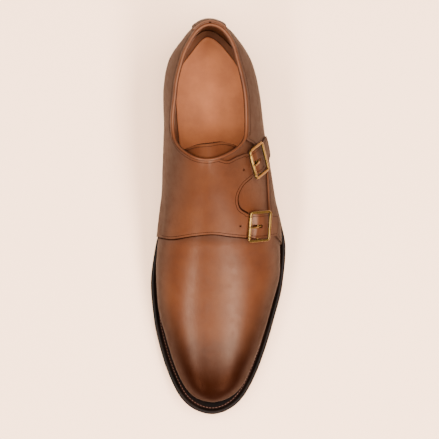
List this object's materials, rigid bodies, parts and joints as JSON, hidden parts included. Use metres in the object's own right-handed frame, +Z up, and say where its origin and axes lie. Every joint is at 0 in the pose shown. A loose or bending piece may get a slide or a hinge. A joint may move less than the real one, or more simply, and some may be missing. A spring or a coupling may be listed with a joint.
{
  "type": "double monk strap shoe",
  "caption": "Men's double monk strap shoe, left foot: hollow leather upper with flap and buckled straps on a welted leather sole with a stacked heel.",
  "frame": {"origin": "middle of the shoe's bounding box, on the floor it stands on", "axes": "+Z up, +Y from toe to heel, +X to the outer side of the left foot, where the buckles are"},
  "size_m": [0.1062, 0.3048, 0.1032],
  "materials": {
    "upper_leather": "polished cognac calf, burnished dark at the toe",
    "sole_leather": "dark stained edge leather",
    "lining_leather": "matt natural lining leather",
    "heel_rubber": "matt black rubber",
    "antique_brass": "antique brass, bright on the edges"
  },
  "bodies": {
    "root": {"upper": "upper_leather", "tongue": "upper_leather", "quarter_medial": "upper_leather", "quarter_lateral": "upper_leather", "back_stay": "upper_leather", "outsole": "sole_leather", "welt": "sole_leather", "heel_stack": "sole_leather", "insole": "lining_leather", "heel_top_piece": "heel_rubber", "buckle_frame_lower": "antique_brass", "buckle_roller_lower": "antique_brass", "buckle_prong_lower": "antique_brass", "buckle_frame_upper": "antique_brass", "buckle_roller_upper": "antique_brass", "buckle_prong_upper": "antique_brass"}
  },
  "joints": []
}
